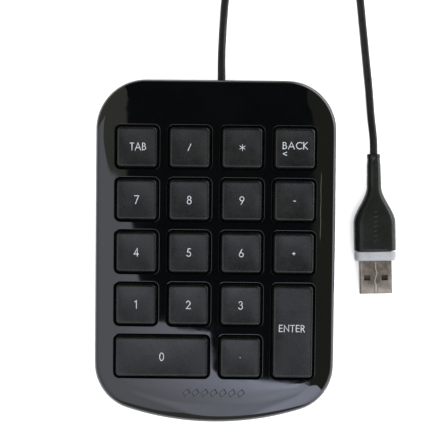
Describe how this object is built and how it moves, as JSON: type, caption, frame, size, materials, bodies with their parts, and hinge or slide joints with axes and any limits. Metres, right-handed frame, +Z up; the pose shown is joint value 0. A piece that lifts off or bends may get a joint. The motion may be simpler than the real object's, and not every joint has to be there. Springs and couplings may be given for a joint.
{
  "type": "numeric keypad",
  "caption": "Wedge-shaped wired numeric keypad: gloss black casing with a bowed front lip, low square keys on rubber domes, coiled cord and USB plug",
  "frame": {"origin": "on the table, under the middle of the casing", "axes": "+X right and +Y to the rear edge, where the cord leaves, as the user sees the keys; +Z up"},
  "size_m": [0.1109, 0.2065, 0.0216],
  "materials": {
    "keycap": "charcoal moulded plastic, fine satin texture, off-white printed legends",
    "cover_gloss": "polished black plastic",
    "tray_matte": "black plastic with a fine sand texture",
    "guide_plastic": "plain dark moulding",
    "dome_rubber": "translucent white silicone rubber",
    "membrane_film": "thin clear polyester film",
    "plate_steel": "plain rolled sheet",
    "wire_steel": "drawn wire",
    "screw_steel": "dark plated",
    "board_laminate": "green solder resist",
    "chip_resin": "black moulding resin",
    "foot_rubber": "matte black rubber",
    "cord_jacket": "satin dark grey flexible PVC",
    "plug_body": "satin black flexible PVC, moulded over the cord's end",
    "plug_collar": "light grey moulded plastic",
    "plug_shell_metal": "nickel plated folded sheet, lightly scuffed",
    "plug_tongue": "black moulded plastic"
  },
  "bodies": {
    "casing": {"top_cover": "cover_gloss", "bottom_cover": "tray_matte", "key_guide_frame": "guide_plastic", "membrane_upper": "membrane_film", "membrane_spacer": "membrane_film", "membrane_lower": "membrane_film", "back_plate": "plate_steel", "controller_board": "board_laminate", "controller_chip": "chip_resin", "casing_screw_front_left": "screw_steel", "casing_screw_front_right": "screw_steel", "casing_screw_rear_left": "screw_steel", "casing_screw_rear_right": "screw_steel", "foot_front": "foot_rubber", "foot_rear": "foot_rubber", "cord_lead": "cord_jacket", "cord_coil": "cord_jacket", "cord_tail": "cord_jacket", "plug_overmould": "plug_body", "plug_collar": "plug_collar", "plug_shell": "plug_shell_metal", "plug_tongue": "plug_tongue", "dome_tab": "dome_rubber", "dome_divide": "dome_rubber", "dome_multiply": "dome_rubber", "dome_back": "dome_rubber", "dome_7": "dome_rubber", "dome_8": "dome_rubber", "dome_9": "dome_rubber", "dome_minus": "dome_rubber", "dome_4": "dome_rubber", "dome_5": "dome_rubber", "dome_6": "dome_rubber", "dome_plus": "dome_rubber", "dome_1": "dome_rubber", "dome_2": "dome_rubber", "dome_3": "dome_rubber", "dome_enter": "dome_rubber", "dome_0": "dome_rubber", "dome_decimal": "dome_rubber"},
    "keycap_tab": {"key_tab": "keycap"},
    "keycap_divide": {"key_divide": "keycap"},
    "keycap_multiply": {"key_multiply": "keycap"},
    "keycap_back": {"key_back": "keycap"},
    "keycap_7": {"key_7": "keycap"},
    "keycap_8": {"key_8": "keycap"},
    "keycap_9": {"key_9": "keycap"},
    "keycap_minus": {"key_minus": "keycap"},
    "keycap_4": {"key_4": "keycap"},
    "keycap_5": {"key_5": "keycap"},
    "keycap_6": {"key_6": "keycap"},
    "keycap_plus": {"key_plus": "keycap"},
    "keycap_1": {"key_1": "keycap"},
    "keycap_2": {"key_2": "keycap"},
    "keycap_3": {"key_3": "keycap"},
    "keycap_enter": {"key_enter": "keycap"},
    "keycap_0": {"key_0": "keycap"},
    "keycap_decimal": {"key_decimal": "keycap"},
    "stabiliser_0": {"stabiliser_bar_0": "wire_steel"},
    "stabiliser_enter": {"stabiliser_bar_enter": "wire_steel"}
  },
  "joints": [
    {"name": "press_tab", "type": "slide", "parent": "casing", "child": "keycap_tab", "axis": [0, 0.0523, -0.9986], "range_m": [0, 0.002], "stiffness_N_per_m": 250, "springref_m": -0.0002, "deforming": ["dome_tab"]},
    {"name": "press_divide", "type": "slide", "parent": "casing", "child": "keycap_divide", "axis": [0, 0.0523, -0.9986], "range_m": [0, 0.002], "stiffness_N_per_m": 250, "springref_m": -0.0002, "deforming": ["dome_divide"]},
    {"name": "press_multiply", "type": "slide", "parent": "casing", "child": "keycap_multiply", "axis": [0, 0.0523, -0.9986], "range_m": [0, 0.002], "stiffness_N_per_m": 250, "springref_m": -0.0002, "deforming": ["dome_multiply"]},
    {"name": "press_back", "type": "slide", "parent": "casing", "child": "keycap_back", "axis": [0, 0.0523, -0.9986], "range_m": [0, 0.002], "stiffness_N_per_m": 250, "springref_m": -0.0002, "deforming": ["dome_back"]},
    {"name": "press_7", "type": "slide", "parent": "casing", "child": "keycap_7", "axis": [0, 0.0523, -0.9986], "range_m": [0, 0.002], "stiffness_N_per_m": 250, "springref_m": -0.0002, "deforming": ["dome_7"]},
    {"name": "press_8", "type": "slide", "parent": "casing", "child": "keycap_8", "axis": [0, 0.0523, -0.9986], "range_m": [0, 0.002], "stiffness_N_per_m": 250, "springref_m": -0.0002, "deforming": ["dome_8"]},
    {"name": "press_9", "type": "slide", "parent": "casing", "child": "keycap_9", "axis": [0, 0.0523, -0.9986], "range_m": [0, 0.002], "stiffness_N_per_m": 250, "springref_m": -0.0002, "deforming": ["dome_9"]},
    {"name": "press_minus", "type": "slide", "parent": "casing", "child": "keycap_minus", "axis": [0, 0.0523, -0.9986], "range_m": [0, 0.002], "stiffness_N_per_m": 250, "springref_m": -0.0002, "deforming": ["dome_minus"]},
    {"name": "press_4", "type": "slide", "parent": "casing", "child": "keycap_4", "axis": [0, 0.0523, -0.9986], "range_m": [0, 0.002], "stiffness_N_per_m": 250, "springref_m": -0.0002, "deforming": ["dome_4"]},
    {"name": "press_5", "type": "slide", "parent": "casing", "child": "keycap_5", "axis": [0, 0.0523, -0.9986], "range_m": [0, 0.002], "stiffness_N_per_m": 250, "springref_m": -0.0002, "deforming": ["dome_5"]},
    {"name": "press_6", "type": "slide", "parent": "casing", "child": "keycap_6", "axis": [0, 0.0523, -0.9986], "range_m": [0, 0.002], "stiffness_N_per_m": 250, "springref_m": -0.0002, "deforming": ["dome_6"]},
    {"name": "press_plus", "type": "slide", "parent": "casing", "child": "keycap_plus", "axis": [0, 0.0523, -0.9986], "range_m": [0, 0.002], "stiffness_N_per_m": 250, "springref_m": -0.0002, "deforming": ["dome_plus"]},
    {"name": "press_1", "type": "slide", "parent": "casing", "child": "keycap_1", "axis": [0, 0.0523, -0.9986], "range_m": [0, 0.002], "stiffness_N_per_m": 250, "springref_m": -0.0002, "deforming": ["dome_1"]},
    {"name": "press_2", "type": "slide", "parent": "casing", "child": "keycap_2", "axis": [0, 0.0523, -0.9986], "range_m": [0, 0.002], "stiffness_N_per_m": 250, "springref_m": -0.0002, "deforming": ["dome_2"]},
    {"name": "press_3", "type": "slide", "parent": "casing", "child": "keycap_3", "axis": [0, 0.0523, -0.9986], "range_m": [0, 0.002], "stiffness_N_per_m": 250, "springref_m": -0.0002, "deforming": ["dome_3"]},
    {"name": "press_enter", "type": "slide", "parent": "casing", "child": "keycap_enter", "axis": [0, 0.0523, -0.9986], "range_m": [0, 0.002], "stiffness_N_per_m": 250, "springref_m": -0.0002, "deforming": ["dome_enter"]},
    {"name": "press_0", "type": "slide", "parent": "casing", "child": "keycap_0", "axis": [0, 0.0523, -0.9986], "range_m": [0, 0.002], "stiffness_N_per_m": 250, "springref_m": -0.0002, "deforming": ["dome_0"]},
    {"name": "press_decimal", "type": "slide", "parent": "casing", "child": "keycap_decimal", "axis": [0, 0.0523, -0.9986], "range_m": [0, 0.002], "stiffness_N_per_m": 250, "springref_m": -0.0002, "deforming": ["dome_decimal"]},
    {"name": "stabiliser_0_turn", "type": "hinge", "parent": "casing", "child": "stabiliser_0", "pos_m": [-0.019, -0.04274, 0.01168], "axis": [-1, 0, 0], "range_deg": [0, 15.6]},
    {"name": "stabiliser_enter_turn", "type": "hinge", "parent": "casing", "child": "stabiliser_enter", "pos_m": [0.0239, -0.02866, 0.01242], "axis": [0, 0.9986, 0.0523], "range_deg": [0, 15.6]}
  ],
  "couplings": [
    {"joint": "stabiliser_0_turn", "follows": "press_0", "rad_per_m": 133.7},
    {"joint": "stabiliser_enter_turn", "follows": "press_enter", "rad_per_m": 133.7}
  ]
}
